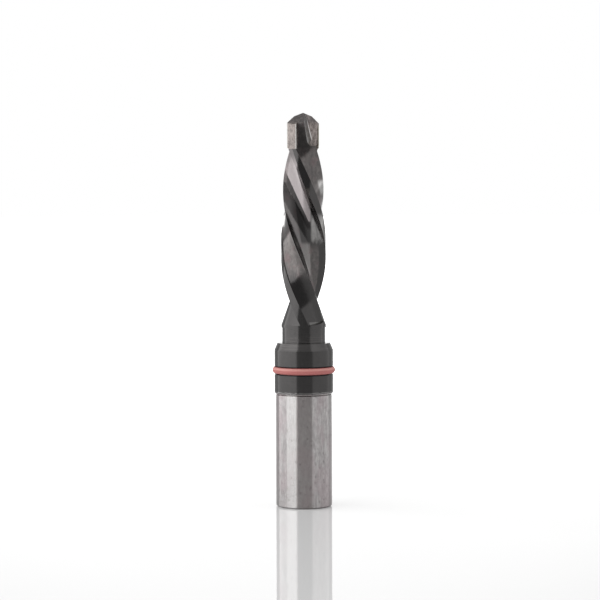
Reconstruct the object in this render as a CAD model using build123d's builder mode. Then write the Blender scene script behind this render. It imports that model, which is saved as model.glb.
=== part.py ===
from build123d import *
import os
from math import asin, cos, degrees, radians, sin, tan

# A left-hand drill for dowel holes, standing on the end of its shank.
# Millimetres, +Z up, origin at the centre of the shank's end face, -Y to the front.
# Directions round the axis are in degrees from the front, -Y, towards +X.

# Shank
shank_diameter = 10.0
shank_length = 20.0
shank_end_chamfer = 0.25
clamp_flat_depth = 0.6

# Collar and the groove of its ring
collar_diameter = 10.5
collar_length = 9.25
collar_foot_chamfer = 0.4
collar_top_chamfer_width = 0.53
collar_top_chamfer_height = 1.25
groove_height = 4.4
groove_width = 1.5
groove_depth = 0.8
ring_cord = 1.3
ring_squash = 0.15

# Neck, fluted shaft and its helix
neck_diameter = 7.7
neck_length = 2.75
body_diameter = 8.0
total_length = 70.0
helix_lead = 53.0
land_angle = 81.0
margin_angle = 21.5
margin_height = 0.27
heel_drop = 0.4
relief_radius = 14.0
web_radius = 1.2
run_out_height = 0.45
run_out_angle = 19.5
shelf_height = 0.73
shelf_slope = 15.0

# Head, carbide plate and point
plate_direction = -31.5
plate_thickness = 1.9
plate_height = 6.4
jaw_drop = 0.27
edge_meeting_depth = 5.7
gash_length = 5.9
gash_offset = 0.8
gash_lean = 23.0
gash_wall_angle = 19.5
gash_end_radius = 1.0
point_angle = 127.0
point_clearance = 7.5
notch_offset = 0.06
notch_edge_angle = 20.5
notch_wall_angle = 60.0
notch_direction = 110.0
notch_fall_angle = 35.0

# Adjusting screw and its threaded hole in the shank's end
screw_diameter = 5.0
screw_length = 8.0
screw_recess = 0.4
screw_end_chamfer = 0.5
screw_socket_width = 2.5
screw_socket_depth = 2.5
thread_clearance = 0.05
thread_depth = 12.0
tap_drill_diameter = 4.2
tap_drill_depth = 14.0
drill_point_angle = 118.0
hole_mouth_chamfer = 0.3

# Heights and radii that follow from the sizes above
collar_top = shank_length + collar_length
neck_top = collar_top + neck_length
run_out_bottom = neck_top + run_out_height
plate_bottom = total_length - plate_height
gash_bottom = total_length - gash_length
edge_meeting_height = total_length - edge_meeting_depth
shank_radius = shank_diameter / 2
collar_radius = collar_diameter / 2
groove_radius = collar_radius - groove_depth
body_radius = body_diameter / 2
heel_radius = body_radius - heel_drop
half_plate = plate_thickness / 2

# The cutters reach past the steel that they cut.
overrun = 1.0
cutter_bottom = neck_top - overrun
cutter_top = total_length + overrun
cutter_radius = body_radius + overrun


def around(radius, angle):
    """The point at a radius, in a direction from the front, -Y, towards +X."""
    return Vector(radius * sin(radians(angle)), -radius * cos(radians(angle)))


def edge_direction(height):
    """Where the left-hand helix of the cutting edge stands: it meets the plate's corner in the head."""
    plate_corner = plate_direction - degrees(asin(half_plate / body_radius))
    return plate_corner + 360 / helix_lead * (edge_meeting_height - height)


# The section of the shaft is drawn with its cutting edge to the front and turned to its place.
section_plane = Plane.XY.offset(cutter_bottom).rotated((0, 0, edge_direction(cutter_bottom)))
head_plane = Plane(origin=(0, 0, 0), x_dir=around(1, plate_direction))

with BuildLine() as drill_axis:
    Line((0, 0, cutter_bottom), (0, 0, cutter_top))

with BuildLine() as helix:
    Helix(helix_lead, cutter_top - cutter_bottom, 1, center=(0, 0, cutter_bottom), lefthand=True)

# One flute: its round floor reaches from the cutting edge to the heel of the other land,
# and it rises to the neck as a cone
flute_end = land_angle - 180
flute_middle = flute_end / 2
with BuildPart() as flute_cutter:
    with BuildSketch(section_plane):
        with BuildLine():
            past_edge = Line(around(body_radius, 0), around(cutter_radius, 0))
            past_other_heel = Line(around(heel_radius, flute_end), around(cutter_radius, flute_end))
            ThreePointArc(past_edge @ 0, around(web_radius, flute_middle), past_other_heel @ 0)
            ThreePointArc(past_edge @ 1, around(cutter_radius, flute_middle), past_other_heel @ 1)
        make_face()
    sweep(path=drill_axis.line, binormal=helix.line.edges()[0])
    with BuildSketch(Plane.XZ):
        with BuildLine():
            cone_spread = tan(radians(run_out_angle))
            cone_radius = cutter_radius + overrun
            Polyline(
                (0, run_out_bottom + body_radius / cone_spread),
                (cone_radius, run_out_bottom + (body_radius - cone_radius) / cone_spread),
                (0, run_out_bottom + (body_radius - cone_radius) / cone_spread),
                close=True,
            )
        make_face()
    revolve(axis=Axis.Z, mode=Mode.SUBTRACT)

# The relief behind one margin: a nearly flat land from the margin's step to the heel,
# which starts on a shelf across the helix
land_middle = (margin_angle + land_angle) / 2
with BuildPart() as relief_cutter:
    with BuildSketch(section_plane):
        with BuildLine():
            step_foot = around(body_radius - margin_height, margin_angle)
            land = RadiusArc(step_foot, around(heel_radius, land_angle), -relief_radius)
            past_heel = Line(land @ 1, land @ 1 + (land % 1) * overrun)
            step = Line(step_foot, around(cutter_radius, margin_angle))
            ThreePointArc(step @ 1, around(cutter_radius, land_middle), past_heel @ 1)
        make_face()
    sweep(path=drill_axis.line, binormal=helix.line.edges()[0])
    shelf_middle = neck_top + shelf_height
    shelf_outward = around(1, edge_direction(shelf_middle) + land_middle)
    shelf_origin = shelf_outward * heel_radius + Vector(0, 0, shelf_middle)
    shelf_plane = Plane(origin=shelf_origin, x_dir=shelf_outward).rotated((-shelf_slope, 0, 0))
    split(bisect_by=shelf_plane, keep=Keep.TOP)

# The gash before one wing of the plate, between its rake face and the leaning wall of the jaw beside it
with BuildPart() as gash_cutter:
    with BuildSketch(head_plane.offset(gash_bottom)):
        with BuildLine():
            wall_foot = Vector(gash_offset - gash_length * tan(radians(gash_lean)), half_plate)
            wall_end = wall_foot + Vector(2 * body_diameter, 0).rotate(Axis.Z, gash_wall_angle)
            Polyline(
                (-2 * body_diameter, half_plate),
                wall_foot,
                wall_end,
                (-2 * body_diameter, wall_end.Y),
                close=True,
            )
        make_face()
    gash_way = Vector(sin(radians(gash_lean)), 0, cos(radians(gash_lean)))
    extrude(amount=(gash_length + overrun) / gash_way.Z, dir=head_plane.from_local_coords(gash_way))
    floor_edges = gash_cutter.faces().sort_by(Axis.Z)[0].edges()
    fillet(floor_edges.sort_by_distance((0, 0, gash_bottom))[0], gash_end_radius)

# The notch that thins one side of the point: it leaves a short chisel edge and ends in the gash
with BuildPart() as notch_cutter:
    notch_out = Vector(tan(radians(notch_fall_angle)), 0).rotate(Axis.Z, notch_direction)
    with BuildSketch(head_plane.offset(total_length + overrun)):
        with BuildLine():
            root = Vector(0, notch_offset) - notch_out * overrun
            Polyline(
                root,
                root + Vector(body_diameter, 0).rotate(Axis.Z, notch_wall_angle),
                root + Vector(body_diameter, 0).rotate(Axis.Z, 180 - notch_edge_angle),
                close=True,
            )
        make_face()
    notch_way = (notch_out - Vector(0, 0, 1)).normalized()
    extrude(amount=-(gash_length + overrun) / notch_way.Z, dir=head_plane.from_local_coords(notch_way))

# The ground flank of each wing falls from the middle outwards and from its edge to its heel.
flank_fall = Vector(1 / tan(radians(point_angle / 2)), tan(radians(point_clearance)), 0)
flank_normals = [head_plane.from_local_coords(Vector(0, 0, 1) + flank_fall * side) for side in (1, -1)]
point_flanks = [Plane(origin=(0, 0, total_length), z_dir=normal) for normal in flank_normals]

# The one-piece steel drill: shank, collar, neck, fluted shaft and slotted head
with BuildPart() as drill_body:
    with BuildSketch(Plane.XZ):
        with BuildLine():
            groove_bottom = shank_length + groove_height - groove_width / 2
            groove_top = groove_bottom + groove_width
            Polyline(
                (0, 0),
                (shank_radius - shank_end_chamfer, 0),
                (shank_radius, shank_end_chamfer),
                (shank_radius, shank_length),
                (collar_radius - collar_foot_chamfer, shank_length),
                (collar_radius, shank_length + collar_foot_chamfer),
                (collar_radius, groove_bottom),
                (groove_radius, groove_bottom),
                (groove_radius, groove_top),
                (collar_radius, groove_top),
                (collar_radius, collar_top - collar_top_chamfer_height),
                (collar_radius - collar_top_chamfer_width, collar_top),
                (neck_diameter / 2, collar_top),
                (neck_diameter / 2, neck_top),
                (body_radius, neck_top),
                (body_radius, plate_bottom),
                (body_radius - jaw_drop, plate_bottom),
                (body_radius - jaw_drop, total_length),
                (0, total_length),
                close=True,
            )
        make_face()
    revolve(axis=Axis.Z)

    for point_plane in point_flanks:
        split(bisect_by=point_plane, keep=Keep.BOTTOM)
    with BuildSketch(head_plane.offset(plate_bottom)):
        Rectangle(2 * cutter_radius, plate_thickness)
    extrude(amount=plate_height + overrun, mode=Mode.SUBTRACT)
    with PolarLocations(0, 2):
        add(gash_cutter.part, mode=Mode.SUBTRACT)
        add(notch_cutter.part, mode=Mode.SUBTRACT)
        add(flute_cutter.part, mode=Mode.SUBTRACT)
        add(relief_cutter.part, mode=Mode.SUBTRACT)

    with BuildSketch(Plane.XZ.offset(clamp_flat_depth - shank_radius)):
        Rectangle(shank_diameter, shank_length, align=(Align.CENTER, Align.MIN))
    extrude(amount=-shank_diameter, mode=Mode.SUBTRACT)

    with BuildSketch(Plane.XZ):
        with BuildLine():
            thread_radius = screw_diameter / 2 + thread_clearance
            drill_radius = tap_drill_diameter / 2
            Polyline(
                (0, 0),
                (thread_radius + hole_mouth_chamfer, 0),
                (thread_radius, hole_mouth_chamfer),
                (thread_radius, thread_depth),
                (drill_radius, thread_depth),
                (drill_radius, tap_drill_depth),
                (0, tap_drill_depth + drill_radius / tan(radians(drill_point_angle / 2))),
                close=True,
            )
        make_face()
    revolve(axis=Axis.Z, mode=Mode.SUBTRACT)
drill_body.part.label = "drill_body"

# The carbide plate, brazed in the head's slot and ground with it
with BuildPart() as carbide_tip:
    with BuildSketch(Plane.XY.offset(plate_bottom)):
        Circle(body_radius)
    extrude(amount=plate_height)
    with BuildSketch(head_plane.offset(plate_bottom)):
        Rectangle(2 * cutter_radius, plate_thickness)
    extrude(amount=plate_height, mode=Mode.INTERSECT)
    for point_plane in point_flanks:
        split(bisect_by=point_plane, keep=Keep.BOTTOM)
    with PolarLocations(0, 2):
        add(notch_cutter.part, mode=Mode.SUBTRACT)
        add(flute_cutter.part, mode=Mode.SUBTRACT)
carbide_tip.part.label = "carbide_tip"

# The elastomer ring: it is stretched over the floor of the collar's groove, which presses its inside flat
with BuildPart() as marker_ring:
    ring_height = shank_length + groove_height
    with BuildSketch(Plane.XZ):
        with Locations((groove_radius + ring_cord / 2 - ring_squash, ring_height)):
            Circle(ring_cord / 2)
        with Locations((0, ring_height)):
            Rectangle(groove_radius, ring_cord, align=(Align.MIN, Align.CENTER), mode=Mode.SUBTRACT)
    revolve(axis=Axis.Z)
marker_ring.part.label = "marker_ring"

# The grub screw that sets the drill's length in its chuck
with BuildPart() as adjusting_screw:
    with BuildSketch(Plane.XY.offset(screw_recess)):
        Circle(screw_diameter / 2)
    extrude(amount=screw_length)
    chamfer(adjusting_screw.edges().filter_by(GeomType.CIRCLE), screw_end_chamfer)
    with BuildSketch(Plane.XY.offset(screw_recess)):
        RegularPolygon(screw_socket_width / 2, 6, major_radius=False)
    extrude(amount=screw_socket_depth, mode=Mode.SUBTRACT)
adjusting_screw.part.label = "adjusting_screw"

os.makedirs("parts", exist_ok=True)
for piece in (drill_body, carbide_tip, marker_ring, adjusting_screw):
    export_step(piece.part, f"parts/{piece.part.label}.step")
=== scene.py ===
import math
import random
import bmesh
import bpy
from mathutils import Matrix, Vector


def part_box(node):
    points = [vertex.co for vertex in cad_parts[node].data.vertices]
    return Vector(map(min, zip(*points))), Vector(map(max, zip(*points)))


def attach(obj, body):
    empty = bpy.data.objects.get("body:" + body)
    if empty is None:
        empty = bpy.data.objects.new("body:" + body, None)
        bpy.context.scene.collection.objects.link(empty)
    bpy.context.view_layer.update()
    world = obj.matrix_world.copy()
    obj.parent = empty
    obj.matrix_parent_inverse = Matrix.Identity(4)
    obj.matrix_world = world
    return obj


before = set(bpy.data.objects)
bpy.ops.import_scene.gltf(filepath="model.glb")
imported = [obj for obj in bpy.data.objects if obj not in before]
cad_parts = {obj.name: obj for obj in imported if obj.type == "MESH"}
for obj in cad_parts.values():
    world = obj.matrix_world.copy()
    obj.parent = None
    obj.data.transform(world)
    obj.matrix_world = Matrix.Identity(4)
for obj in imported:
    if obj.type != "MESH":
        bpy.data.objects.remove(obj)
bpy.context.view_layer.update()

# A left-hand dowel drill with a carbide plate, standing on its shank on glossy white acrylic.
# The drill and everything on it is given in millimetres, the studio round it in metres, +Z up.
# Directions round the axis are in degrees from the front, -Y, towards +X.
mm = 0.001

# The drill's own sizes, read from the frame where a node gives them
plate_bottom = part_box("carbide_tip")[0][2] / mm
ring_height = (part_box("marker_ring")[0][2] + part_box("marker_ring")[1][2]) / 2 / mm
groove_half = 0.72
plate_direction = -31.5
plate_half = 0.95
body_radius = 4.0
jaw_radius = 3.73
jaw_top = 68.0
coat_foot = 20.38
neck_top = 32.0
hole_radius = 2.55
thread_depth = 12.0
thread_pitch = 0.8

# The left-hand helix of the first cutting edge, and the angles behind it at which its margin and then its
# relieved land end. The flute fills the rest of the half turn: it starts with its heel and ends with the
# wall that leads up to the second edge.
edge_start = -45.24
edge_start_height = 64.3
helix_lead = 53.0
margin_angle = 21.5
land_angle = 81.0
heel_angle = 12.0
wall_angle = 55.0

# The band on the wall of each flute that was ground bare lies between two slanted lines, seen from the
# front. Each line has an x at a height, and x falls by the slope for each millimetre upwards.
bare_left = 0.98
bare_left_height = 50.7
bare_left_slope = 0.457
bare_right = 0.18
bare_right_height = 56.9
bare_right_slope = 0.313
bare_right_limit = 1.25
bare_foot = 50.7
bare_fades_from = 60.6
bare_fades_to = 62.8

# The heights between which the marks on the surfaces lie, the painted highlights on the lands and the
# painted shade in the flutes among them, then those over which the rubbing of the coating, the grime at the
# foot and the dark point set in
dull_patch_heights = (48.2, 51.0)
rubbed_edge_heights = (54.7, 56.5)
heel_highlight_heights = (56.3, 57.3)
front_highlight_heights = (50.2, 51.6)
rubbed_flute_heights = (38.5, 45.0)
pale_wedge_heights = (40.8, 46.5)
pale_heel_heights = (45.0, 54.0)
flute_shade_heights = (50.0, 60.0)
shelf_heights = (32.45, 33.0)
turned_heights = (28.4, 30.6)
rubbed_land_starts = (40.2, 42.6)
rubbed_heel_starts = (43.0, 46.0)
grime_starts = (8.0, 1.0)
dark_point_starts = (67.9, 68.7)

# The angles past a cutting edge, and the directions round the shank, between which marks lie, among them the
# painted highlights on the lands and the painted highlight stripe and painted shade on the shank
heel_highlight_angles = (54, 90)
front_highlight_angles = (8, 50)
shelf_angles = (28, 85)
highlight_directions = (-36, -16)
shade_directions = (-15.5, 16)

# The painted highlight line along the edge of each gash: its distance along the plate from the axis at a
# height, how far it runs outwards for each millimetre down, and the heights over which it sets in
gash_start = 1.1
gash_start_height = 65.75
gash_slope = 0.516
gash_highlight_width = 0.2
gash_highlight_starts = (65.0, 65.5)

# The photograph's camera
camera_distance = 0.388
camera_height = 0.0583
camera_pitch = 3.17
camera_roll = 0.18
camera_offset = -0.57 * mm
lens = 131.0
sensor_width = 36.0

# The studio: how bright each softbox and each part of the room looks, where white is 1
left_brightness = 1.02
right_brightness = 0.43
front_wall = 0.2
side_wall = 0.55
backdrop = 1.5
ceiling = 0.52
near_floor_glow = 0.1
far_floor_glow = 1.0

# The softboxes stand beside the drill; the floor turns white between two distances from it
softbox_distance = 0.3
softbox_height = 0.6
near_floor = 0.09
far_floor = 0.28
floor_size = 6


class Value:
    """A number that varies over a surface: a shader socket that Python's own operators work on."""

    def __init__(self, graph, socket):
        self.graph = graph
        self.socket = socket

    def __add__(self, other):
        return self.graph.maths("ADD", self, other)

    def __radd__(self, other):
        return self.graph.maths("ADD", other, self)

    def __sub__(self, other):
        return self.graph.maths("SUBTRACT", self, other)

    def __rsub__(self, other):
        return self.graph.maths("SUBTRACT", other, self)

    def __mul__(self, other):
        return self.graph.maths("MULTIPLY", self, other)

    def __rmul__(self, other):
        return self.graph.maths("MULTIPLY", other, self)

    def __truediv__(self, other):
        return self.graph.maths("DIVIDE", self, other)

    def __pow__(self, other):
        return self.graph.maths("POWER", self, other)

    def __neg__(self):
        return self.graph.maths("MULTIPLY", self, -1)

    def __abs__(self):
        return self.graph.maths("ABSOLUTE", self)


class Graph:
    """A tree of shader nodes, which grows as they are asked for."""

    def __init__(self, tree):
        self.tree = tree

    def node(self, kind, settings=None, inputs=None, output=0):
        """Adds a node, sets its settings and then its sockets, and gives one of its outputs."""
        made = self.tree.nodes.new(kind)
        for setting, value in (settings or {}).items():
            setattr(made, setting, value)
        for socket, value in (inputs or {}).items():
            if isinstance(value, Value):
                self.tree.links.new(value.socket, made.inputs[socket])
            else:
                made.inputs[socket].default_value = value
        return Value(self, made.outputs[output])

    def maths(self, operation, *values):
        return self.node("ShaderNodeMath", {"operation": operation}, dict(enumerate(values)))

    def either(self, first, second):
        """Where one mask or the other holds."""
        return self.maths("MAXIMUM", first, second)

    def sides(self, vector):
        """The three coordinates of a vector."""
        parts = self.node("ShaderNodeSeparateXYZ", None, {0: vector}).socket.node
        return [Value(self, socket) for socket in parts.outputs]

    def step(self, value, low, high, below=0.0, above=1.0):
        """One number up to low, another from high on and smooth between them; low may be the larger one."""
        inputs = {"Value": value, "From Min": low, "From Max": high, "To Min": below, "To Max": above}
        return self.node("ShaderNodeMapRange", {"interpolation_type": "SMOOTHSTEP"}, inputs)

    def between(self, value, low, high, softness):
        """Between two numbers, fading over the given softness outside them."""
        return self.step(value, low - softness, low) * self.step(value, high + softness, high)


class Finish(Graph):
    """The finish of one kind of surface: a material that reads the object's own coordinates.

    x, y, z and the radius are in millimetres, and the direction round the axis is in radians.
    """

    def __init__(self, name, **constants):
        self.material = bpy.data.materials.new(name)
        self.material.use_nodes = True
        super().__init__(self.material.node_tree)
        self.shader = self.tree.nodes["Principled BSDF"]
        for socket, value in constants.items():
            self.shader.inputs[socket.replace("_", " ")].default_value = value
        self.place = self.node("ShaderNodeTexCoord", output="Object")
        scaled = self.node("ShaderNodeVectorMath", {"operation": "SCALE"}, {0: self.place, "Scale": 1 / mm})
        self.x, self.y, self.z = self.sides(scaled)
        self.radius = (self.x * self.x + self.y * self.y) ** 0.5
        self.direction = self.maths("ARCTAN2", self.x, -self.y)

    def stretched(self, across=1.0, along=1.0, turn=0.0):
        """The coordinates in millimetres, turned about the drill's axis and scaled across and along it."""
        scale = (across / mm, across / mm, along / mm)
        inputs = {"Vector": self.place, "Rotation": (0, 0, math.radians(turn)), "Scale": scale}
        return self.node("ShaderNodeMapping", {"vector_type": "POINT"}, inputs)

    def noise(self, place, scale, detail, roughness):
        """Cloudy noise from 0 to 1."""
        inputs = {"Vector": place, "Scale": scale, "Detail": detail, "Roughness": roughness}
        return self.node("ShaderNodeTexNoise", {"noise_dimensions": "3D"}, inputs)

    def spots(self, place, size, share):
        """Small soft spots, 1 inside and 0 outside, in a share of the cells of a mesh of the given size."""
        inputs = {"Vector": place, "Scale": 1 / size, "Randomness": 1.0}
        from_centre = self.node("ShaderNodeTexVoronoi", {"feature": "F1"}, inputs, output="Distance")
        cell_colour = self.node("ShaderNodeTexVoronoi", {"feature": "F1"}, inputs, output="Color")
        chance = self.node("ShaderNodeSeparateColor", None, {0: cell_colour})
        return self.step(from_centre, 0.34, 0.1) * self.step(chance, 1 - share, 1.02 - share)

    def thread(self):
        """The turns of the screw thread, 0 in the grooves and 1 on the crests."""
        return self.maths("PINGPONG", self.z / thread_pitch - self.direction / math.tau, 0.5) * 2

    def colour(self, value):
        """What a colour's socket takes: a colour that varies, or a plain one with its alpha."""
        return value if isinstance(value, Value) else (*value, 1.0)

    def blend(self, factor, first, second):
        """One colour turning into another as the factor goes from 0 to 1."""
        inputs = {0: factor, 6: self.colour(first), 7: self.colour(second)}
        return self.node("ShaderNodeMix", {"data_type": "RGBA"}, inputs, output=2)

    def layers(self, colour, *marks):
        """A colour with marks laid over it in turn: each has a mask, a strength from 0 to 1 and a colour."""
        for mask, strength, mark in marks:
            colour = self.blend(mask * strength, colour, mark)
        return colour

    def bump(self, height, distance, below=None):
        """A surface normal from a height of 0 to 1 that stands for a distance in millimetres."""
        inputs = {"Height": height, "Distance": distance * mm, "Strength": 1.0}
        if below:
            inputs["Normal"] = below
        return self.node("ShaderNodeBump", None, inputs)

    def feed(self, **inputs):
        """Links what varies over the surface to the shader."""
        for socket, value in inputs.items():
            self.tree.links.new(value.socket, self.shader.inputs[socket.replace("_", " ")])


class SteelFinish(Finish):
    """Bare ground steel on the shank and on a band of each flute, a black slide coating on the rest."""

    def __init__(self):
        super().__init__("ground_and_coated_steel", Metallic=1.0)
        fall = math.radians(360 / helix_lead) * (edge_start_height - self.z)
        self.angle = self.direction - math.radians(edge_start) - fall
        self.margin = self.sector(0, margin_angle)
        self.land = self.sector(margin_angle, land_angle)
        self.flute = self.sector(land_angle - 180, 0)
        self.flute_heel = self.sector(land_angle - 180, land_angle - 180 + heel_angle, softness=0.06)
        self.below_plate = self.step(self.z, plate_bottom + 0.6, plate_bottom)

        self.streaks = self.noise(self.stretched(along=0.08), scale=2.6, detail=4, roughness=0.6)
        self.fine_streaks = self.noise(self.stretched(along=0.08), scale=8.0, detail=3, roughness=0.65)
        self.rings = self.noise(self.stretched(across=0.02), scale=9.0, detail=3, roughness=0.6)
        self.grain = self.noise(self.stretched(), scale=12.0, detail=3, roughness=0.6)
        self.mottle = self.noise(self.stretched(along=0.6), scale=1.8, detail=4, roughness=0.7)
        self.clouds = self.noise(self.stretched(along=0.5), scale=0.35, detail=3, roughness=0.55)
        self.tint = self.noise(self.stretched(along=0.8), scale=0.55, detail=3, roughness=0.6)
        self.ragged = self.noise(self.stretched(along=0.3), scale=3.0, detail=3, roughness=0.5) - 0.5
        self.pits = self.spots(self.stretched(along=0.7), size=0.7, share=0.3)

        # The x at which the front shows a mark; the second flute repeats it, turned by half a turn
        first_flute = self.half_turn(land_angle - 180)
        self.seen_x = self.x * (first_flute * 2 - 1) + self.ragged * 0.12
        self.left = bare_left - bare_left_slope * (self.z - bare_left_height)
        slanted = bare_right - bare_right_slope * (self.z - bare_right_height)
        self.right = self.maths("MINIMUM", slanted, bare_right_limit)
        self.shank = self.step(self.z + self.ragged * 0.5, coat_foot + 0.05, coat_foot - 0.05)
        self.bare = self.either(self.shank, self.bare_band())

    def sector(self, start, end, softness=0.02):
        """Between two angles past a cutting edge, on both sides of the drill."""
        middle = math.radians(start + end) / 2
        limit = math.cos(math.radians(end - start))
        return self.step(self.maths("COSINE", (self.angle - middle) * 2), limit - softness, limit + softness)

    def facing(self, start, end, softness):
        """Between two directions round the axis."""
        return self.between(self.direction, math.radians(start), math.radians(end), softness)

    def half_turn(self, end):
        """The half of the drill whose middle lies halfway between the first cutting edge and an angle."""
        return self.step(self.maths("COSINE", self.angle - math.radians(end) / 2), -0.01, 0.01)

    def bare_band(self):
        """The slanted band on each flute's wall that was ground bare, fading towards the head."""
        band = self.either(self.flute, self.margin) * self.step(self.seen_x - self.left, -0.05, 0.05)
        band = band * self.step(self.seen_x - self.right, 0.05, -0.03)
        band = band * self.step(self.z, bare_foot, bare_foot + 0.2) * self.below_plate
        return band * self.step(self.z, bare_fades_to, bare_fades_from, below=0.35)

    def steel_colour(self):
        """Upright streaks and mottling, a painted highlight stripe and painted shade down the front, soft
        dark pits, and grime at the shank's foot.
        """
        dark_steel = (0.37, 0.35, 0.35)
        pale_steel = (0.6, 0.58, 0.575)
        reddish_steel = (0.46, 0.37, 0.39)
        highlight_steel = (0.76, 0.745, 0.735)
        shade_grey = (0.36, 0.35, 0.34)
        shade_brown = (0.4, 0.34, 0.335)
        pit_brown = (0.17, 0.15, 0.15)
        grime_brown = (0.22, 0.19, 0.185)
        dark_wall = (0.24, 0.21, 0.215)
        pale_wall = (0.38, 0.355, 0.355)

        wear = self.step(self.streaks * 0.3 + self.fine_streaks * 0.25 + self.mottle * 0.45, 0.36, 0.64)
        # Painted highlight: a pale stripe where the shank's front left mirrors the left softbox
        highlight_stripe = self.facing(*highlight_directions, softness=0.06)
        # Painted shade: a darker grey-brown band down the shank's front, where it mirrors the dim room in
        # front of it
        middle = self.facing(*shade_directions, softness=0.03)
        smears = self.noise(self.stretched(along=1.6), scale=0.8, detail=4, roughness=0.7)
        grime = self.step(smears, 0.54, 0.7) * self.step(self.z, *grime_starts)
        shank = self.layers(
            self.blend(wear, dark_steel, pale_steel),
            (self.step(self.clouds, 0.42, 0.62), 0.4, reddish_steel),
            (highlight_stripe, 0.55, highlight_steel),
            (middle, 0.5, self.blend(self.tint, shade_grey, shade_brown)),
            (self.pits, 0.4, pit_brown),
            (grime, 0.45, grime_brown),
        )
        ground_wall = self.blend(self.mottle * 0.5 + self.fine_streaks * 0.5, dark_wall, pale_wall)
        return self.blend(self.shank, ground_wall, shank)

    def rubbed_coat(self):
        """Where the coating is rubbed: on the lands, at the heel and foot of each flute, and on the head."""
        rubbed = self.land * self.step(self.z + self.ragged * 2, *rubbed_land_starts)
        rubbed = self.either(rubbed, self.flute_heel * self.step(self.z, *rubbed_heel_starts) * 1.5)
        rubbed = self.either(rubbed, self.flute * self.between(self.z, *rubbed_flute_heights, softness=2.5))
        head = self.step(self.z, plate_bottom, plate_bottom + 0.6) * 0.6
        return self.either(rubbed * self.below_plate, head)

    def land_highlights(self):
        """Painted highlights, on one land each: at the heel and at the front, where the land turns edge-on
        and mirrors the white backdrop.
        """
        first_land = self.half_turn(land_angle)
        uneven_z = self.z + self.ragged
        heel = self.between(uneven_z, *heel_highlight_heights, softness=1.2)
        heel = heel * self.sector(*heel_highlight_angles, softness=0.22)
        front = self.between(uneven_z, *front_highlight_heights, softness=0.4)
        front = front * self.sector(*front_highlight_angles, softness=0.1)
        return self.either(heel * first_land, front * (1 - first_land))

    def dull_patch(self, by_edge):
        """The scuffed patch below the bare band."""
        patch = by_edge * self.between(self.z + self.ragged * 2, *dull_patch_heights, softness=1.6)
        return patch * self.step(self.seen_x, 1.15, 1.6) * self.step(self.seen_x - self.right, -0.05, 0.1)

    def coat_colour(self):
        """Deep grey, rubbed paler and browner where the wood slides past it, with painted highlights on the
        lands, painted shade in the flutes, and painted shadow lines at the coat's foot and along the ring's
        groove.
        """
        black = (0.068, 0.066, 0.066)
        soft_black = (0.108, 0.104, 0.103)
        dark_rubbed = (0.11, 0.103, 0.102)
        pale_rubbed = (0.2, 0.185, 0.18)
        brown_rubbed = (0.2, 0.145, 0.15)
        edge_brown = (0.2, 0.185, 0.17)
        heel_grey = (0.25, 0.24, 0.24)
        wedge_grey = (0.26, 0.25, 0.245)
        shelf_grey = (0.24, 0.235, 0.23)
        turned_grey = (0.2, 0.185, 0.18)
        lip_grey = (0.4, 0.39, 0.385)
        dark_scuff = (0.28, 0.275, 0.27)
        pale_scuff = (0.5, 0.49, 0.48)
        highlight_silver = (0.72, 0.71, 0.7)
        shade_black = (0.032, 0.03, 0.03)
        shadow_black = (0.03, 0.027, 0.027)

        rubbed = self.rubbed_coat()
        above_neck = self.step(self.z, neck_top - 0.1, neck_top + 0.1)
        pale = self.step(self.mottle * 0.7 + self.clouds * 0.3, 0.3, 0.7)
        pale_heel = self.flute_heel * self.between(self.z, *pale_heel_heights, softness=2.0)
        pale_wedge = self.flute * self.between(self.z, *pale_wedge_heights, softness=0.8)
        # Painted shade: darker than the coat, a strip in each flute beside the bare band, where the wall
        # mirrors the dark inside of the flute
        flute_shade = self.flute * self.between(self.seen_x - self.left, -0.75, -0.05, softness=0.2)
        by_edge = self.either(self.sector(-wall_angle, 0), self.margin)
        rubbed_edge = by_edge * self.between(self.seen_x, self.right, 1.0, softness=0.12)
        shelf = self.sector(*shelf_angles) * self.between(self.z, *shelf_heights, softness=0.05)
        turned = self.step(self.rings * self.between(self.z, *turned_heights, softness=0.4), 0.5, 0.62)
        above_foot = self.z + self.ragged * 0.6 - coat_foot
        lip = self.step(abs(above_foot - 0.04), 0.08, 0.02)
        groove_edge = self.step(abs(abs(self.z - ring_height) - groove_half), 0.16, 0.06)
        return self.layers(
            self.blend(self.grain * 0.4 + self.mottle * 0.6, black, soft_black),
            (rubbed, above_neck, self.blend(pale, dark_rubbed, pale_rubbed)),
            (pale_heel, 0.8, heel_grey),
            (pale_wedge * self.step(self.seen_x, 1.28, 1.16), 0.75, wedge_grey),
            (rubbed * self.step(self.tint, 0.5, 0.66), 0.45, brown_rubbed),
            # Painted shade in the flutes beside the bare band
            (flute_shade * self.between(self.z, *flute_shade_heights, softness=1.0), 0.8, shade_black),
            (self.dull_patch(by_edge), 0.8, self.blend(self.mottle, dark_scuff, pale_scuff)),
            (rubbed_edge * self.between(self.z, *rubbed_edge_heights, softness=0.4), 0.9, edge_brown),
            # Painted highlights where the lands turn edge-on and mirror the white backdrop
            (self.land_highlights(), 0.85, highlight_silver),
            (shelf * self.step(self.radius, body_radius - 0.1, body_radius - 0.2), 0.6, shelf_grey),
            (turned, 0.3, turned_grey),
            (self.step(abs(above_foot - 0.17), 0.1, 0.03), 0.7, lip_grey),
            (self.either(lip, groove_edge), 0.7, shadow_black),
        )

    def relief(self):
        """Shallow flats and turned lines, the thread inside the shank's end, and a fine grain over all."""
        in_hole = self.step(self.radius, hole_radius + 0.15, hole_radius + 0.05)
        in_hole = in_hole * self.step(self.z, thread_depth, thread_depth - 0.2)
        turned = self.rings * self.between(self.z, coat_foot + 0.22, neck_top - 0.2, softness=0.2)
        flats = self.bump(self.streaks * 0.5 + self.mottle * 0.5, 0.005)
        lines = self.bump(turned, 0.004, flats)
        return self.bump(self.grain, 0.001, self.bump(self.thread() * in_hole, 0.4, lines))


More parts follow.
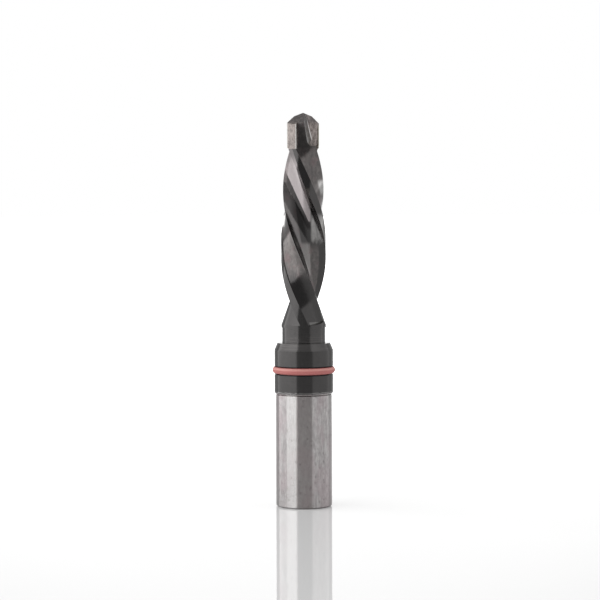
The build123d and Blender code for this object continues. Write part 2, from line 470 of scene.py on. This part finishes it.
def steel_finish():
    """The material of the drill's body."""
    finish = SteelFinish()
    bare_roughness = 0.1 + 0.12 * finish.fine_streaks + 0.1 * finish.pits
    coat_roughness = 0.1 + 0.1 * finish.grain
    finish.feed(
        Base_Color=finish.blend(finish.bare, finish.coat_colour(), finish.steel_colour()),
        Roughness=finish.bare * bare_roughness + (1 - finish.bare) * coat_roughness,
        Normal=finish.relief(),
    )
    return finish.material


def carbide_finish():
    """Hard metal with a dark, mottled sintered skin, worn along the edges of its outer faces with a painted
    highlight there, and a painted highlight line along the edge of each gash.
    """
    dark_skin = (0.11, 0.093, 0.088)
    pale_skin = (0.4, 0.35, 0.33)
    outer_grey = (0.36, 0.33, 0.31)
    point_black = (0.08, 0.075, 0.08)
    highlight_line_silver = (0.8, 0.79, 0.78)
    highlight_silver = (0.62, 0.61, 0.59)

    finish = Finish("ground_carbide", Metallic=1.0)
    turn = math.radians(plate_direction)
    across = finish.x * math.cos(turn) + finish.y * math.sin(turn)
    along = finish.y * math.cos(turn) - finish.x * math.sin(turn)
    along = along * (finish.step(across, -0.01, 0.01) * 2 - 1)
    grain = finish.noise(finish.stretched(), scale=5.0, detail=4, roughness=0.7)
    patches = finish.noise(finish.stretched(along=0.6), scale=1.8, detail=4, roughness=0.65)
    upright = finish.stretched(along=0.05, turn=-plate_direction)
    lines = finish.noise(upright, scale=8.0, detail=2, roughness=0.5)
    skin = finish.step(patches * 0.5 + grain * 0.5, 0.4, 0.6)
    outer = finish.step(finish.radius, body_radius - 0.15, body_radius - 0.06)
    # Worn edges of the outer faces, with a painted highlight along them
    worn_edge_highlight = outer * finish.step(abs(across) + grain * 0.2 - 0.1, plate_half - 0.22, plate_half - 0.04)

    # Painted highlight: a bright line along the edge of each gash
    outwards = along - gash_start - gash_slope * (gash_start_height - finish.z)
    gash_highlight = finish.between(outwards, 0.0, gash_highlight_width, softness=0.06)
    gash_highlight = gash_highlight * finish.step(finish.z, *gash_highlight_starts)
    gash_highlight = gash_highlight * finish.step(abs(across), plate_half - 0.1, plate_half - 0.03)
    colour = finish.layers(
        finish.blend(skin, dark_skin, pale_skin),
        (outer, 0.35, outer_grey),
        (finish.step(finish.z, *dark_point_starts), 0.55, point_black),
        (gash_highlight, 0.8, highlight_line_silver),
        (worn_edge_highlight, 0.75, highlight_silver),
    )
    surface = finish.bump(grain * 0.7 + lines * 0.3, 0.014)
    finish.feed(Base_Color=colour, Roughness=0.24 + 0.22 * grain, Normal=surface)
    return finish.material


def ring_finish():
    """Salmon red elastomer: satin, with a painted highlight on top and painted shade along its upper and
    lower edges, and the moulding line round its outside.
    """
    dark_red = (0.58, 0.17, 0.16)
    pale_red = (0.72, 0.25, 0.235)
    highlight_red = (0.85, 0.5, 0.42)
    shade_red = (0.16, 0.045, 0.045)

    finish = Finish("red_elastomer")
    height = finish.z - ring_height
    # Painted highlight along the top of the ring
    top_highlight = finish.between(height, 0.2, 0.42, softness=0.12)
    # Painted shade at the ring's upper and lower edges, where it sinks into its groove
    edge_shade = finish.step(abs(height), 0.48, 0.6)
    dust = finish.noise(finish.stretched(), scale=2.4, detail=4, roughness=0.65)
    pores = finish.noise(finish.stretched(), scale=16.0, detail=2, roughness=0.5)
    colour = finish.layers(
        finish.blend(dust, dark_red, pale_red),
        (top_highlight, 0.4, highlight_red),
        (edge_shade, 0.8, shade_red),
    )
    parting = finish.step(abs(height), 0.05, 0.01) * finish.step(finish.radius, 5.3, 5.5)
    surface = finish.bump(parting, 0.03, finish.bump(pores, 0.006))
    finish.feed(Base_Color=colour, Roughness=0.38 + 0.2 * dust, Normal=surface)
    return finish.material


def screw_finish():
    """Black oxide on the grub screw, with its thread as fine turns round its side."""
    dark_oxide = (0.045, 0.042, 0.045)
    pale_oxide = (0.09, 0.085, 0.085)

    finish = Finish("black_oxide", Metallic=1.0)
    side = finish.step(finish.radius, hole_radius - 0.2, hole_radius - 0.1)
    grain = finish.noise(finish.stretched(), scale=9.0, detail=3, roughness=0.6)
    surface = finish.bump(grain, 0.004, finish.bump(finish.thread() * side, 0.4))
    colour = finish.blend(grain, dark_oxide, pale_oxide)
    finish.feed(Base_Color=colour, Roughness=0.32 + 0.2 * grain, Normal=surface)
    return finish.material


def braze_finish():
    """Silver braze, dulled where it ran out of the joint."""
    dull_braze = (0.25, 0.215, 0.15)
    bright_braze = (0.6, 0.56, 0.47)

    finish = Finish("silver_braze", Metallic=1.0)
    patches = finish.noise(finish.stretched(), scale=5.0, detail=4, roughness=0.65)
    colour = finish.blend(patches, dull_braze, bright_braze)
    finish.feed(Base_Color=colour, Roughness=0.25 + 0.3 * patches, Normal=finish.bump(patches, 0.01))
    return finish.material


def dress(node, material):
    """Gives a node of the drill its finish."""
    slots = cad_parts[node].data.materials
    slots.clear()
    slots.append(material)


def braze_bead(shape, corner, heights, draw):
    """An upright bead that narrows and swells from one height to the next."""
    bead_radius = 0.11
    ring = bmesh.ops.create_circle(shape, cap_ends=True, segments=10, radius=bead_radius * mm)["verts"]
    bmesh.ops.translate(shape, verts=ring, vec=(corner + Vector((0, 0, heights[0]))) * mm)
    face = ring[0].link_faces[0]
    for height in heights[1:]:
        face = bmesh.ops.extrude_discrete_faces(shape, faces=[face])["faces"][0]
        centre = (corner + Vector((0, 0, height))) * mm
        bmesh.ops.translate(shape, verts=face.verts, vec=centre - face.calc_center_median())
        width = bead_radius * draw.uniform(0.7, 1.15) * mm
        growth = Vector((1, 1, 1)) * width / (face.verts[0].co - centre).length
        bmesh.ops.scale(shape, verts=face.verts, vec=growth, space=Matrix.Translation(-centre))


def braze_seams(material):
    """The thin, uneven bead of braze up each corner between a jaw and the back of the plate's wing."""
    bead_foot = plate_bottom + 0.15
    level_height = 0.2
    levels = int((jaw_top - plate_bottom) / level_height)
    heights = [bead_foot + level_height * level for level in range(levels)]
    along = math.sqrt(jaw_radius**2 - plate_half**2)
    turn = Matrix.Rotation(math.radians(plate_direction - 90), 4, "Z")
    draw = random.Random(8)
    shape = bmesh.new()
    for side in (1, -1):
        corner = turn @ Vector((along * side, -plate_half * side, 0))
        braze_bead(shape, corner, heights, draw)
    bmesh.ops.recalc_face_normals(shape, faces=shape.faces)
    mesh = bpy.data.meshes.new("braze_seams")
    shape.to_mesh(mesh)
    shape.free()
    mesh.shade_smooth()
    mesh.materials.append(material)
    seams = bpy.data.objects.new("braze_seams", mesh)
    bpy.context.scene.collection.objects.link(seams)
    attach(seams, "root")


def make_camera():
    """A long lens straight in front of the drill, level with its flutes and pitched down a little."""
    data = bpy.data.cameras.new("camera")
    data.lens = lens
    data.sensor_width = sensor_width
    camera = bpy.data.objects.new("camera", data)
    bpy.context.scene.collection.objects.link(camera)
    camera.location = (camera_offset, -camera_distance, camera_height)
    camera.rotation_euler = (math.radians(90 - camera_pitch), math.radians(camera_roll), 0)
    bpy.context.scene.camera = camera


def softbox(name, side, front, back, brightness):
    """An upright panel that faces the drill from the left, side -1, or the right, side 1.

    It reaches from front to back along Y.
    """
    data = bpy.data.lights.new(name, "AREA")
    data.shape = "RECTANGLE"
    data.size = back - front
    data.size_y = softbox_height
    # A lamp of this kind looks as bright as its energy over four times its area
    data.energy = brightness * 4 * data.size * data.size_y
    lamp = bpy.data.objects.new(name, data)
    bpy.context.scene.collection.objects.link(lamp)
    lamp.location = (side * softbox_distance, (front + back) / 2, softbox_height / 2)
    lamp.rotation_euler = (math.radians(90), 0, math.radians(90 * side))


def make_surroundings():
    """A dim room with a white backdrop behind the drill; the camera sees white all round."""
    world = bpy.data.worlds.new("studio")
    bpy.context.scene.world = world
    world.use_nodes = True
    sky = Graph(world.node_tree)
    # How far each line of sight points back, from -1 to 1, and how far up
    backwards, upwards = sky.sides(sky.node("ShaderNodeTexCoord", output="Generated"))[1:]
    walls = sky.step(backwards, 0.1, 0.5, below=front_wall, above=side_wall)
    walls = walls + sky.step(backwards, 0.93, 0.985, above=backdrop - side_wall)
    room = walls + (ceiling - walls) * sky.step(upwards, 0.35, 0.65)
    seen = sky.node("ShaderNodeLightPath", output="Is Camera Ray")
    background = world.node_tree.nodes["Background"]
    background.inputs["Color"].default_value = (1, 1, 1, 1)
    world.node_tree.links.new((room + (1 - room) * seen).socket, background.inputs["Strength"])


def make_floor():
    """Glossy white acrylic that fades into the white of the backdrop all round the drill."""
    finish = Finish("white_acrylic", Roughness=0.015, IOR=1.25, Emission_Strength=1.0)
    finish.shader.inputs["Base Color"].default_value = (0.74, 0.74, 0.74, 1)
    seen = finish.node("ShaderNodeLightPath", output="Is Camera Ray")
    glow = finish.step(finish.radius, near_floor / mm, far_floor / mm, near_floor_glow, far_floor_glow)
    finish.feed(Emission_Color=finish.blend(seen * glow, (0, 0, 0), (1, 1, 1)))
    bpy.ops.mesh.primitive_plane_add(size=floor_size)
    floor = bpy.context.object
    floor.name = "floor"
    floor.data.materials.append(finish.material)


make_camera()
softbox("left_softbox", -1, -0.56, 0.2, left_brightness)
softbox("right_softbox", 1, -0.445, 0.17, right_brightness)
make_surroundings()
make_floor()
dress("drill_body", steel_finish())
dress("carbide_tip", carbide_finish())
dress("marker_ring", ring_finish())
dress("adjusting_screw", screw_finish())
braze_seams(braze_finish())
bpy.context.scene.view_settings.view_transform = "Standard"
